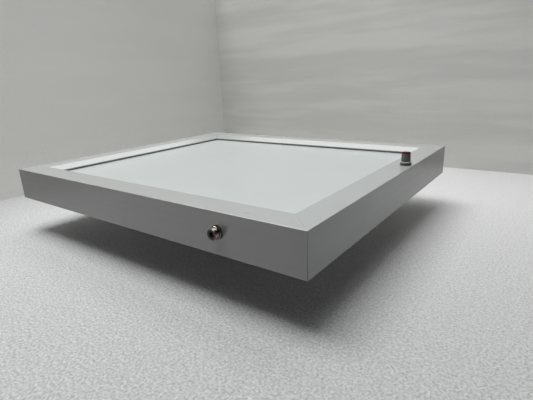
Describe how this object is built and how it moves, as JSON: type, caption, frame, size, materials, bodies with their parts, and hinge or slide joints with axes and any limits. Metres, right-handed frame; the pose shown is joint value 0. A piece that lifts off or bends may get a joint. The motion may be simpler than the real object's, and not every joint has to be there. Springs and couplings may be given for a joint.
{
  "type": "x-ray film viewer",
  "caption": "Slim light box with a mitred silver frame and a recessed opal window, lit from behind to read x-ray films, with a power inlet and a dimmer knob.",
  "frame": {"origin": "centre of the rear plane that the viewer lies on or hangs by", "axes": "+X along the long rails to the knob's side, +Y away from the inlet's rail, towards the hanging edge, +Z out of the window"},
  "size_m": [0.512, 0.448, 0.062],
  "materials": {
    "frame_metal": "fine satin silver anodised extrusion",
    "cast_metal": "dull cast",
    "screw_steel": "zinc plated",
    "black_rubber": "matte",
    "opal_window": "satin opal acrylic sheet",
    "back_sheet": "white painted sheet",
    "tray_white": "white reflective paint",
    "strip_board": "white solder mask on metal board",
    "lamp_phosphor": "yellow phosphor in a white package",
    "connector_plastic": "moulded",
    "lead_red": "smooth sleeve",
    "lead_black": "smooth sleeve",
    "lead_yellow": "smooth sleeve",
    "nickel": "warm nickel plate",
    "black_plastic": "moulded",
    "green_board": "solder mask",
    "terminal_green": "moulded",
    "brass": "turned",
    "capacitor_sleeve": "shrunk sleeve",
    "phenolic": "phenolic sheet",
    "knob_plastic": "moulded, fine grain",
    "cap_plastic": "moulded, red with a white index line"
  },
  "bodies": {
    "viewer": {"front_rail": "frame_metal", "right_rail": "frame_metal", "back_rail": "frame_metal", "left_rail": "frame_metal", "corner_keys": "cast_metal", "corner_key_screws": "screw_steel", "window_gasket": "black_rubber", "window_panel": "opal_window", "back_panel": "back_sheet", "back_panel_screws": "screw_steel", "lamp_tray": "tray_white", "lamp_tray_rivets": "cast_metal", "lamp_strips": "strip_board", "lamps": "lamp_phosphor", "strip_connectors": "connector_plastic", "lamp_lead_red": "lead_red", "lamp_lead_black": "lead_black", "lead_grommet": "black_rubber", "inlet_barrel": "nickel", "inlet_nut": "nickel", "inlet_washer": "nickel", "inlet_insulator": "black_plastic", "inlet_pin": "nickel", "inlet_tag": "nickel", "supply_lead_red": "lead_red", "supply_lead_black": "lead_black", "lead_saddles": "connector_plastic", "dimmer_board": "green_board", "board_spacers": "brass", "board_screws": "screw_steel", "board_terminal": "terminal_green", "board_header": "connector_plastic", "board_capacitor": "capacitor_sleeve", "board_inductor": "black_plastic", "board_chips": "black_plastic", "board_resistors": "black_plastic", "dimmer_leads": "lead_yellow", "dimmer_bushing": "cast_metal", "dimmer_wafer": "phenolic", "dimmer_track": "black_plastic", "dimmer_tags": "nickel", "dimmer_can": "screw_steel", "dimmer_washer": "nickel", "dimmer_nut": "nickel"},
    "dimmer": {"dimmer_shaft": "cast_metal", "dimmer_wiper": "brass", "dimmer_knob": "knob_plastic", "knob_cap": "cap_plastic"}
  },
  "joints": [
    {"name": "dimmer_turn", "type": "hinge", "parent": "viewer", "child": "dimmer", "pos_m": [0.2459, 0.0518, 0.045], "axis": [0, 0, 1], "range_deg": [-150, 150]}
  ]
}
